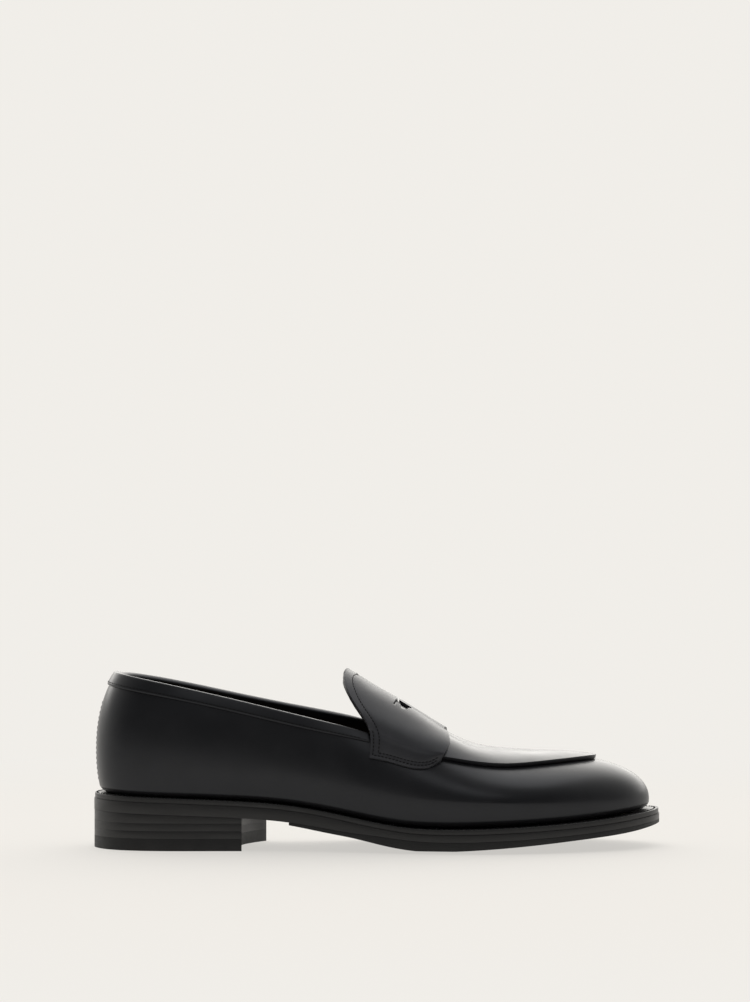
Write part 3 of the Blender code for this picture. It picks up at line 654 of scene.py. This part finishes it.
def stitch_row(lines, normals, pitch, length, radius, slant=0.0, sink=0.35):
    """Points and faces of one row of stitches for each line: each is a short round-ended thread."""
    ring, rings = 8, 7
    places, ups, alongs = [], [], []
    for line, normal in zip(lines, normals):
        line = np.asarray(line, float)
        centre = resample(line, pitch)
        nearest = np.argmin(np.linalg.norm(centre[:, None] - line[None], axis=2), axis=1)
        before, after = np.maximum(nearest - 1, 0), np.minimum(nearest + 1, len(line) - 1)
        along = line[after] - line[before]
        places.append(centre)
        ups.append(np.asarray(normal)[nearest])
        alongs.append(along / np.linalg.norm(along, axis=1, keepdims=True))
    centre, up, along = (np.concatenate(part) for part in (places, ups, alongs))
    side = np.cross(along, up)
    side /= np.linalg.norm(side, axis=1, keepdims=True)
    along = along * math.cos(slant) + side * math.sin(slant)
    side = np.cross(along, up)
    up = np.cross(side, along)
    up /= np.linalg.norm(up, axis=1, keepdims=True)
    side /= np.linalg.norm(side, axis=1, keepdims=True)
    t = np.linspace(-1, 1, rings)
    size = np.sqrt(np.clip(1 - np.abs(t) ** 3, 0.02, 1)) * radius
    arch = -0.5 * radius * t**2
    angles = np.arange(ring) * TURN / ring
    points, faces = [], []
    for c, u, a, s in zip(centre, up, along, side):
        start = len(points)
        for k in range(rings):
            middle = c + a * (t[k] * length / 2) + u * (arch[k] + radius * (1 - 2 * sink) * 0.5)
            points += [middle + (s * math.cos(w) + u * math.sin(w)) * size[k] for w in angles]
        for k in range(rings - 1):
            for m in range(ring):
                p, q = start + k * ring + m, start + k * ring + (m + 1) % ring
                faces.append((p, p + ring, q + ring, q))
        faces.append(tuple(start + m for m in range(ring)))
        faces.append(tuple(start + (rings - 1) * ring + m for m in reversed(range(ring))))
    return points, faces


def make_stitches(name, lines, normals, slot="calf", pitch=1.9, length=1.55, radius=0.26, slant=0.0,
                  sink=0.35):
    points, faces = stitch_row(lines, normals, pitch, length, radius, slant, sink)
    mesh = make_mesh(name, points, faces)
    return make_piece(name, mesh, [], slot, THREAD_LOOK)


def strap_lines():
    """The strap's stitch lines as (share, height) on each side: one all round, one near the tab's edge."""
    lines = {}
    for on_medial in (False, True):
        shares = np.linspace(0, 1, 81)
        heights = np.concatenate([np.linspace(0, 1, 41), np.linspace(1, 2, 61)[1:]])
        turn, level, height = patch_side(strap_rear, strap_front, above_strap_edge, shares, heights,
                                         on_medial)
        bottom = strap_lift(height)
        grid = off_last(turn, level, bottom + SADDLE)
        across = np.concatenate([np.zeros((1, len(heights))),
                                 np.cumsum(np.linalg.norm(np.diff(grid, axis=0), axis=2), axis=0)])
        up = np.concatenate([np.zeros((len(shares), 1)),
                             np.cumsum(np.linalg.norm(np.diff(grid, axis=1), axis=2), axis=1)], axis=1)
        side = {}
        for key, rear_gap, low_gap, top in (("inner", None, 3.2, 2.0), ("outer", 1.6, 1.6, 1.02)):
            gap = (lambda h: 4.3 + 0.9 * h / 2) if rear_gap is None else (lambda h, g=rear_gap: g)
            rows = [j for j, h in enumerate(heights) if h <= top and up[:, j].max() > low_gap]
            rear = []
            for j in rows:
                share = np.interp(gap(heights[j]), across[:, j], shares)
                low = np.interp(share, shares, up[:, j])
                if low > low_gap:
                    rear.append((share, heights[j]))
            corner = rear[0][0]
            bottom_row = []
            for i, share in enumerate(shares):
                if share <= corner + 0.01 or share > 0.955:
                    continue
                height = np.interp(low_gap, up[i], heights)
                if height < 1.0:
                    bottom_row.append((share, height))
            corner_height = np.interp(low_gap, up[np.searchsorted(shares, corner)], heights)
            side[key] = rear[::-1] + [(corner, corner_height)]
            side[key] += bottom_row
        lines[on_medial] = side
    return lines


def on_strap(path, on_medial):
    """3-D points and normals of a (share, height) path on the strap's outside."""
    shares, heights = np.array(path).T

    def turn_for(level):
        back, ahead = saddle_rear(level), saddle_front(level)
        return turn_at(back + (ahead - back) * shares, level, on_medial)

    lowest = solve(lambda level: above_strap_edge(turn_for(level), level), 0.02, 0.95, shares.shape)
    edge = solve(lambda level: level - edge_level(turn_for(level)), 0.02, 0.95, shares.shape)
    lowest = np.minimum(lowest, edge - 0.03)
    level = np.where(heights < 1, lowest + (edge - lowest) * heights, edge + (1 - edge) * (heights - 1))
    turn = turn_for(level)
    bottom = strap_lift(heights)
    return off_last(turn, level, bottom + SADDLE), last_normal(turn, level)


def make_strap():
    lines, normals = [], []
    sides = strap_lines()
    whole = [on_strap(sides[False]["inner"], False), on_strap(sides[True]["inner"], True)]
    lines.append(np.concatenate([whole[0][0][::-1], whole[1][0][1:]]))
    normals.append(np.concatenate([whole[0][1][::-1], whole[1][1][1:]]))
    for on_medial in (False, True):
        points, normal = on_strap(sides[on_medial]["outer"], on_medial)
        lines.append(points)
        normals.append(normal)
    heights = np.concatenate([[0, 0.02, 0.06, 0.12], np.linspace(0.18, 1, 26), np.linspace(1, 2, 61)[1:]])
    shares = np.concatenate([[0, 0.008, 0.02], np.linspace(0.035, 0.965, 84), [0.98, 0.992, 1]])
    turn, level, bottom = strap_surface(shares, heights)
    outer = off_last(turn, level, bottom + SADDLE)
    fine = [resample(line, 0.4) for line in lines]
    sink = carve(outer, fine, 0.16, 0.6)
    outer = outer - last_normal(turn, level) * sink[..., None]
    inner = off_last(turn, level, bottom)
    strap = make_piece("strap", sheet_mesh("strap", outer, inner), ["saddle_strap"], "calf", STRAP_CALF_PAINTED_LIT)
    cut_slot(strap)
    modifier = strap.modifiers.new("edge", "BEVEL")
    modifier.width = 0.3 * MM
    modifier.segments = 3
    modifier.limit_method = "ANGLE"
    modifier.angle_limit = math.radians(50)
    make_stitches("strap_stitches", lines, normals, pitch=1.9, length=1.5, radius=0.2, sink=0.4)
    return strap


SLOT_X, SLOT_Y = 164.0, 1.3
SLOT_WIDTH, SLOT_DEPTH = 46.0, 2.4


def slot_outline():
    """The penny slot from above: a lobe with a small tab on each side, and a narrow slit over the ridge."""
    side = [(161.0, 6.0), (160.2, 12.0), (159.2, 18.0), (158.5, 22.0), (159.6, 22.9)]
    side += [(160.0, 18.0), (162.4, 17.6), (162.8, 23.1), (164.4, 22.6), (165.8, 20.6), (166.6, 17.5)]
    side += [(168.6, 13.5), (168.0, 10.0), (162.6, 8.4), (161.9, 6.0)]
    left = [(x, SLOT_Y + y) for x, y in side]
    right = [(x, SLOT_Y - y) for x, y in reversed(side)]
    return left + right


def cut_slot(strap):
    outline = slot_outline()
    count = len(outline)
    points = [(x, y, z) for z in (40, 110) for x, y in outline]
    faces = [tuple(range(count)), tuple(reversed(range(count, 2 * count)))]
    faces += [(k, k + count, (k + 1) % count + count, (k + 1) % count) for k in range(count)]
    mesh = bpy.data.meshes.new("slot_prism")
    mesh.from_pydata(place(points).tolist(), [], faces)
    prism = bpy.data.objects.new("slot_prism", mesh)
    bpy.context.scene.collection.objects.link(prism)
    modifier = strap.modifiers.new("slot", "BOOLEAN")
    modifier.operation = "DIFFERENCE"
    modifier.solver = "EXACT"
    modifier.object = prism
    evaluated = strap.evaluated_get(bpy.context.evaluated_depsgraph_get())
    cut = bpy.data.meshes.new_from_object(evaluated)
    strap.modifiers.clear()
    strap.data = cut
    bpy.data.objects.remove(prism)


def slot_recess(point):
    """How far the leather beneath the penny slot sinks, so that the opening is dark."""
    along = np.exp(-(((point[..., 0] - SLOT_X) / 7.0) ** 4))
    across = 1 - smooth_step(np.abs(point[..., 1] - SLOT_Y), SLOT_WIDTH / 2 + 1, SLOT_WIDTH / 2 + 6)
    return SLOT_DEPTH * along * across


def make_tongue():
    joint = TURN * 13 / 48 - 0.004
    heights = np.concatenate([[0], np.linspace(1, 2, 40)])
    shares = np.linspace(0, 1, 30)

    def above_edge(turn, level):
        return level - edge_level(turn)

    def front(level, on_medial):
        return x_on_side(joint, level, on_medial)

    for name, node, inset, out, thickness, look, slot in (
        ("tongue_outer", "tongue", 0.9, PLUG_LIFT + PLUG, PLUG, CALF, "calf"),
        ("tongue_backing", "tongue_lining", 1.2, PLUG_LIFT - 0.1, 0.9, LINING_LOOK, "lining_leather"),
    ):
        turn, level, _ = patch(lambda level, _, inset=inset: saddle_rear(level) + inset, front, above_edge,
                               shares, heights)
        if node == "tongue_lining":
            clear = 0.03 + 0.05 * smooth_step(last_point(turn, level)[..., 0], 147, 165)
            level = level + clear * (1 - level) / (1 - edge_level(turn))
        drop = slot_recess(last_point(turn, level))
        outer = off_last(turn, level, out - drop)
        inner = off_last(turn, level, out - thickness - drop)
        make_piece(name, sheet_mesh(name, outer, inner), [node], slot, look, bevel=0.3, sharp=50)


def band_ends():
    ends = []
    for on_medial in (False, True):
        turn = turn_at(145.6, 0.35, on_medial)
        for _ in range(8):
            turn = turn_at(145.6, edge_level(turn), on_medial)
        ends.append(float(turn))
    return ends[1] - TURN, ends[0]


def make_band():
    """The folded topline band: up the outside, over the edge in a round fold, and a little way inside."""
    first, last = band_ends()
    turns = turns_between(first, last, 300)
    edge = edge_level(turns)
    top = last_point(turns, edge)
    up = last_point(turns, edge + 0.01) - top
    rise = np.linalg.norm(up, axis=-1)
    up /= rise[:, None]
    normal = last_normal(turns, edge)
    low = edge - band_width(top[:, 0]) * 0.01 / rise
    rows = np.array([0, 0.04, 0.1, 0.2, 0.35, 0.5, 0.65, 0.8, 0.92, 1.0])
    levels = low[:, None] + (edge - low)[:, None] * rows
    puff = np.array([0.55, 0.85, 0.97, 1.0, 1.0, 1.0, 1.0, 1.0, 1.0, 1.0])
    outer, inner = [], []
    for k, swell in enumerate(puff):
        outer.append(off_last(turns, levels[:, k], np.full(len(turns), BAND_LIFT + BAND * swell)))
        inner.append(off_last(turns, levels[:, k], np.full(len(turns), BAND_LIFT)))
    fold = SKIRT + LINING + 0.5
    middle, half = (BAND_LIFT + BAND - fold - 0.5) / 2, (BAND_LIFT + BAND + fold + 0.5) / 2
    for angle in np.linspace(0, math.pi, 11)[1:]:
        c, s = math.cos(angle), math.sin(angle)
        outer.append(top + normal * (middle + half * c) + up * (1.15 * s))
        inner.append(top + normal * (middle + (half - 0.75) * c) + up * (0.45 * s))
    for down in (1.0, 2.2, 3.2):
        outer.append(top + normal * (middle - half) - up * down)
        inner.append(top + normal * (middle - half + 0.75) - up * down)
    outer, inner = np.stack(outer, axis=1), np.stack(inner, axis=1)
    line_level = low + (edge - low) * 0.2
    line = off_last(turns, line_level, np.full(len(turns), BAND_LIFT + BAND))
    line_normal = last_normal(turns, line_level)
    make_piece("collar", sheet_mesh("collar", outer, inner), ["collar_band"], "calf", CALF, bevel=0.12,
               sharp=50)
    make_stitches("collar_stitches", [line[3:-3]], [line_normal[3:-3]], pitch=2.1, length=1.7, radius=0.2,
                  sink=0.4)


def stiffened(turn):
    x = feather_plan(turn)[..., 0]
    return 1 - smooth_step(x, 64, 86) + smooth_step(x, 224, 248)


def insole_level(turn):
    """The level just above the insole board, where the lining starts."""
    return np.minimum((SKIRT + 3.2) / widest_rise(turn) - 1, -0.05)


def make_linings():
    joint = TURN * 12 / 48
    for name, node, first, last in (
        ("quarter_lining_piece", "quarter_lining", -joint + 0.002, joint - 0.002),
        ("vamp_lining_piece", "vamp_lining", joint + 0.002, TURN - joint - 0.002),
    ):
        turns = turns_between(first, last, 220)
        edge = edge_level(turns)
        start = insole_level(turns)
        t = np.linspace(0, 1, 26)
        levels = start[:, None] + (edge - start)[:, None] * t
        depth = np.full(levels.shape, LINING_DEPTH) + STIFFENER * stiffened(turns)[:, None]
        depth -= (depth - SKIRT - 0.12) * smooth_step(t, 0.55, 0.93)[None, :]
        zipped = node == "vamp_lining"
        if zipped:
            roof = np.linspace(0, 1, 16)[1:]
            levels = np.concatenate([levels, edge[:, None] + (1 - edge[:, None]) * roof], axis=1)
            depth = np.full(levels.shape, LINING_DEPTH) + (STIFFENER * stiffened(turns))[:, None]
            ahead = smooth_step(feather_plan(turns)[:, 0], 180, 195)
            lift = smooth_step(roof, 0.2, 0.6)[None, :] * ahead[:, None]
            depth[:, len(t) :] -= (depth[:, len(t) :] - 0.9) * lift
        outer = off_last(turns[:, None], levels, -depth)
        inner = off_last(turns[:, None], levels, -depth - LINING)
        mesh = sheet_mesh(name, outer, inner, zipped=zipped)
        make_piece(name, mesh, [node], "lining_leather", LINING_LOOK, bevel=0.2, sharp=50)


# ---------------------------------------------------------------- bottom


def plan_line(out, first_x, last_x, on_medial, count):
    def line(turn):
        turn = TURN - turn if on_medial else turn
        distance = out(turn) if callable(out) else np.full(np.shape(turn), float(out))
        return beside_feather(turn, distance)

    def turn_for(x, end):
        if x is None:
            return end
        return float(solve(lambda turn: line(turn)[..., 0] - x, 0.0, math.pi, (1,))[0])

    return line(np.linspace(turn_for(first_x, 0.0), turn_for(last_x, math.pi), count))


def slab(name, nodes, slot, look, out, span, top, bottom, count=150, across=17, hollow=0.0, bevel=0.4):
    """A plate of the sole, edged along the feather line; top and bottom are functions of x and share."""
    ends = span[1] if isinstance(span[1], tuple) else (span[1], span[1])
    lateral, far = (plan_line(out, span[0], end, side, count) for side, end in zip((False, True), ends))
    share = np.linspace(0, 1, across)[None, :, None]
    plan = lateral[:, None] * (1 - share) + far[:, None] * share
    progress = np.linspace(0, 1, count)[:, None] ** 4
    plan[..., 0] -= hollow * 4 * share[..., 0] * (1 - share[..., 0]) * progress
    width = np.broadcast_to(share[..., 0], plan.shape[:2])
    upper = np.concatenate([plan, top(plan[..., 0], width)[..., None]], axis=-1)
    lower = np.concatenate([plan, bottom(plan[..., 0], width)[..., None]], axis=-1)
    return make_piece(name, sheet_mesh(name, upper, lower), nodes, slot, look, bevel=bevel, sharp=50)


def above_welt(height):
    return lambda x, share: welt_top(x) + height


def level_plane(z):
    return lambda x, share: np.full(np.shape(x), float(z))


def outsole_bottom(x, share):
    return welt_top(x) - sole_edge(x)


def forepart_tread(x, share):
    sag = 4 * share * (1 - share) * (1 - smooth_step(x, 250, 297))
    return np.maximum(tread(x), 0) + 1.5 * (1 - sag) * smooth_step(x, 104, 150)


def make_welt():
    turns = np.arange(480) * TURN / 480
    rim = sole_out(turns) - 0.45
    widths = np.concatenate([[-WELT_INSIDE, -3.0, -1.0], np.linspace(0.2, 1, 8)])
    rows = []
    for width in widths:
        plan = beside_feather(turns, rim * width if width > 0 else np.full(turns.shape, width))
        fall = 0.12 * smooth_step(width, 0.75, 1.0)
        rows.append(np.column_stack([plan, welt_top(plan[:, 0]) - fall]))
    top = np.stack(rows[::-1], axis=1)
    line = np.concatenate([rows[7], rows[7][:1]])
    sink = carve(top, [resample(line, 0.6)], 0.3, 0.6)
    top[..., 2] -= sink
    under = top - (0, 0, WELT - 0.02)
    make_piece("welt_strip", sheet_mesh("welt_strip", top, under, loop=True), ["welt"], "edge_leather",
               EDGE_LOOK, bevel=0.35, sharp=50)
    up = np.tile((0.0, 0.0, 1.0), (len(line), 1))
    make_stitches("welt_stitches", [line - (0, 0, 0.12)], [up], "edge_leather", pitch=3.0, length=2.3,
                  radius=0.36, slant=0.25)


def make_soles():
    slab("outsole_piece", ["outsole"], "edge_leather", EDGE_LOOK, sole_out, (None, None),
         above_welt(-WELT - 0.12), outsole_bottom, count=260)
    slab("forepart_sole_piece", ["forepart_sole"], "hard_rubber", RUBBER_LOOK, sole_out,
         (FOREPART_SOLE_START_X, None), lambda x, share: outsole_bottom(x, share) - 0.15, forepart_tread,
         count=200, bevel=0.45)


def make_heel():
    span = (None, (BREAST_LATERAL_X, BREAST_MEDIAL_X))
    slab("top_piece", ["heel_top_piece"], "hard_rubber", RUBBER_LOOK, lambda turn: sole_out(turn) - 0.1, span,
         level_plane(TOP_PIECE), level_plane(0), hollow=BREAST_HOLLOW, bevel=0.5)
    for number in (1, 2, 3):
        bottom = TOP_PIECE + LIFT_GAP + (number - 1) * LIFT
        top = level_plane(bottom + LIFT - LIFT_GAP)
        if number == 3:
            top = lambda x, share: outsole_bottom(x, share) - 0.1
        slab(f"lift_{number}", [f"heel_lift_{number}"], "edge_leather", EDGE_LOOK,
             lambda turn: sole_out(turn) - 0.12, span, top, level_plane(bottom),
             hollow=BREAST_HOLLOW, bevel=0.06)


def make_sock():
    above = SKIRT + 0.6 + 2.3 + 0.3

    def under(x, share):
        rise = 2.3 * (1 - smooth_step(x, 83, 96))
        dish = 0.9 * (2 * share - 1) ** 2
        return welt_top(x) + above + rise + dish

    slab("sock", ["insole_sock"], "lining_leather", SOCK_LOOK, -5.4, (None, None),
         lambda x, share: under(x, share) + 1.1, under, count=160, bevel=0.3)


def make_back_seam():
    """Stitches that close the back seam, one row on each side of it."""
    lines, normals = [], []
    levels = np.linspace(-0.75, 0.30, 60)
    for sign in (-1, 1):
        turn = np.mod(np.full(levels.shape, sign * 1.7 / 57), TURN)
        lines.append(off_last(turn, levels, np.zeros(levels.shape)))
        normals.append(last_normal(turn, levels))
    make_stitches("back_seam_stitches", lines, normals, pitch=2.6, length=2.0, radius=0.2, sink=0.6)


# ---------------------------------------------------------------- stage


def make_floor(colour):
    mesh = bpy.data.meshes.new("floor")
    mesh.from_pydata([(-20, -20, 0), (20, -20, 0), (20, 20, 0), (-20, 20, 0)], [], [(0, 1, 2, 3)])
    floor = bpy.data.objects.new("floor", mesh)
    bpy.context.scene.collection.objects.link(floor)
    n = Nodes("floor_paper", roughness=0.9, specular_ior_level=0.1)
    n.shader.inputs["Base Color"].default_value = (0.69, 0.668, 0.638, 1)
    far = n.add("ShaderNodeVectorMath", operation="LENGTH")
    n.link(n.where, far.inputs[0])
    fade = n.add("ShaderNodeMapRange", interpolation_type="SMOOTHSTEP")
    fade.inputs["From Min"].default_value = 0.28
    fade.inputs["From Max"].default_value = 0.7
    fade.inputs["To Min"].default_value = 0.65
    n.link(far.outputs["Value"], fade.inputs["Value"])
    glow = n.add("ShaderNodeEmission")
    glow.inputs["Color"].default_value = (*colour, 1)
    mix = n.add("ShaderNodeMixShader")
    n.link(fade.outputs["Result"], mix.inputs[0])
    n.link(n.shader.outputs[0], mix.inputs[1])
    n.link(glow.outputs[0], mix.inputs[2])
    n.link(mix.outputs[0], n.tree.nodes["Material Output"].inputs["Surface"])
    mesh.materials.append(n.material)


def make_world(colour):
    """A white surround: dim on the near side, and brightest high up on the far side."""
    world = bpy.data.worlds.new("studio")
    world.use_nodes = True
    bpy.context.scene.world = world
    tree = world.node_tree

    def add(kind, **inputs):
        node = tree.nodes.new(kind)
        for name, value in inputs.items():
            node.inputs[name.replace("_", " ")].default_value = value
        return node

    where = add("ShaderNodeTexCoord")
    parts = add("ShaderNodeSeparateXYZ")
    tree.links.new(where.outputs["Generated"], parts.inputs[0])
    half = add("ShaderNodeMapRange", From_Min=-1.0)
    tree.links.new(parts.outputs["Y"], half.inputs["Value"])
    ramp = add("ShaderNodeValToRGB")
    tree.links.new(half.outputs["Result"], ramp.inputs["Fac"])
    stops = ramp.color_ramp.elements
    stops[0].position, stops[0].color = 0.20, (0.085, 0.086, 0.090, 1)
    stops[1].position, stops[1].color = 0.66, (*colour, 1)
    raised = add("ShaderNodeMapRange", From_Min=0.135, From_Max=0.2)
    raised.interpolation_type = "SMOOTHSTEP"
    tree.links.new(parts.outputs["Z"], raised.inputs["Value"])
    behind = add("ShaderNodeMapRange", From_Min=0.3, From_Max=0.85, To_Max=3.0)
    behind.interpolation_type = "SMOOTHSTEP"
    tree.links.new(parts.outputs["Y"], behind.inputs["Value"])
    lift = tree.nodes.new("ShaderNodeMath")
    lift.operation = "MULTIPLY_ADD"
    lift.inputs[2].default_value = 1.0
    tree.links.new(raised.outputs["Result"], lift.inputs[0])
    tree.links.new(behind.outputs["Result"], lift.inputs[1])
    background = tree.nodes["Background"]
    tree.links.new(ramp.outputs["Color"], background.inputs["Color"])
    tree.links.new(lift.outputs[0], background.inputs["Strength"])


def add_light(name, where, toward, size, power, tint=(1, 1, 1)):
    from mathutils import Vector

    data = bpy.data.lights.new(name, "AREA")
    data.shape = "RECTANGLE"
    data.size, data.size_y = size
    data.energy = power
    data.color = tint
    light = bpy.data.objects.new(name, data)
    light.location = where
    light.rotation_euler = (Vector(toward) - Vector(where)).to_track_quat("-Z", "Y").to_euler()
    bpy.context.scene.collection.objects.link(light)


def make_stage():
    backdrop = (0.877, 0.855, 0.815)
    make_floor(backdrop)
    make_world(backdrop)
    add_light("top_softbox", (0.0, 0.15, 1.3), (0, 0, 0), (1.4, 1.0), 6)
    add_light("side_softbox", (0.2, -1.6, 1.5), (0, 0, 0.03), (0.9, 0.5), 2)
    scene = bpy.context.scene
    scene.view_settings.view_transform = "Standard"
    scene.view_settings.look = "None"
    data = bpy.data.cameras.new("camera")
    data.lens = 135.3
    data.sensor_width = 36
    camera = bpy.data.objects.new("camera", data)
    camera.location = (-0.001, -2.0, 0.183)
    camera.rotation_euler = (math.pi / 2, 0, 0)
    scene.collection.objects.link(camera)
    scene.camera = camera


def dress_hidden_nodes():
    """The hidden CAD pieces keep their shapes and get materials."""
    board = plain_inner("board", (0.26, 0.17, 0.10), (0.36, 0.25, 0.16), 300)
    looks = {
        "heel_counter": board, "toe_puff": board, "insole": board, "seat_filler": board,
        "cork_filler": plain_inner("cork", (0.25, 0.14, 0.07), (0.48, 0.32, 0.19), 500),
        "heel_pad": plain_inner("felt", (0.09, 0.085, 0.08), (0.15, 0.14, 0.13), 1500),
        "shank": plain_inner("steel", (0.45, 0.45, 0.46), (0.62, 0.62, 0.63), 400, metallic=1.0),
    }
    nail = brass("nail_brass")
    looks.update({f"heel_nail_{number}": nail for number in range(1, 6)})
    for node, look in looks.items():
        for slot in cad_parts[node].material_slots:
            slot.material = look


def main():
    make_stage()
    make_skirt()
    make_apron()
    make_strap()
    make_tongue()
    make_band()
    make_linings()
    make_welt()
    make_soles()
    make_heel()
    make_sock()
    make_back_seam()
    dress_hidden_nodes()


main()
